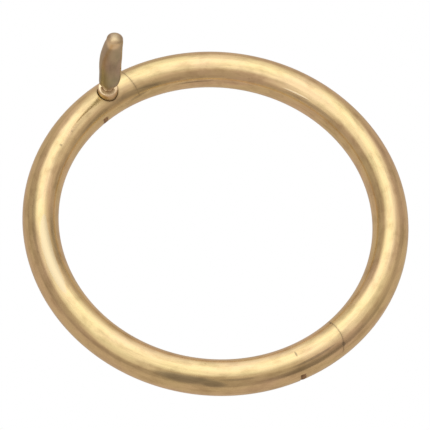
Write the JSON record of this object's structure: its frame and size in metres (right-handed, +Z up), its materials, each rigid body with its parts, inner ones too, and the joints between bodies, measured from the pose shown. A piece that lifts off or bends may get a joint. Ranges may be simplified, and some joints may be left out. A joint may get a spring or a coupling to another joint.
{
  "type": "bull nose ring",
  "caption": "Brass livestock nose ring: a round bar in two half-lapped halves, hinged by a rivet and closed by a screw whose tall tab is meant to snap off.",
  "frame": {"origin": "centre of the ring on the flat surface that it lies on", "axes": "+Z up along the ring's axis, out of the lying ring; the picture looks along +Y from above, with +X to the right; the clasp's screw stands at 135.5 degrees from +X and the hinge is at -49.25 degrees"},
  "size_m": [0.0764, 0.0764, 0.0287],
  "materials": {
    "polished_brass": "polished with soft handling streaks",
    "rivet_brass": "dressed flush and polished",
    "cast_brass": "dull cast, brown-grey"
  },
  "bodies": {
    "left_side": {"left_half": "polished_brass", "hinge_pin": "rivet_brass"},
    "right_side": {"right_half": "polished_brass"},
    "screw": {"break_off_screw": "cast_brass"}
  },
  "joints": [
    {"name": "ring_hinge", "type": "hinge", "parent": "left_side", "child": "right_side", "pos_m": [0.0226, -0.02623, 0], "axis": [0, 0, -1], "range_deg": [0, 80]},
    {"name": "screw_lift", "type": "slide", "parent": "left_side", "child": "screw", "axis": [0, 0, 1], "range_m": [0, 0.0075]}
  ]
}
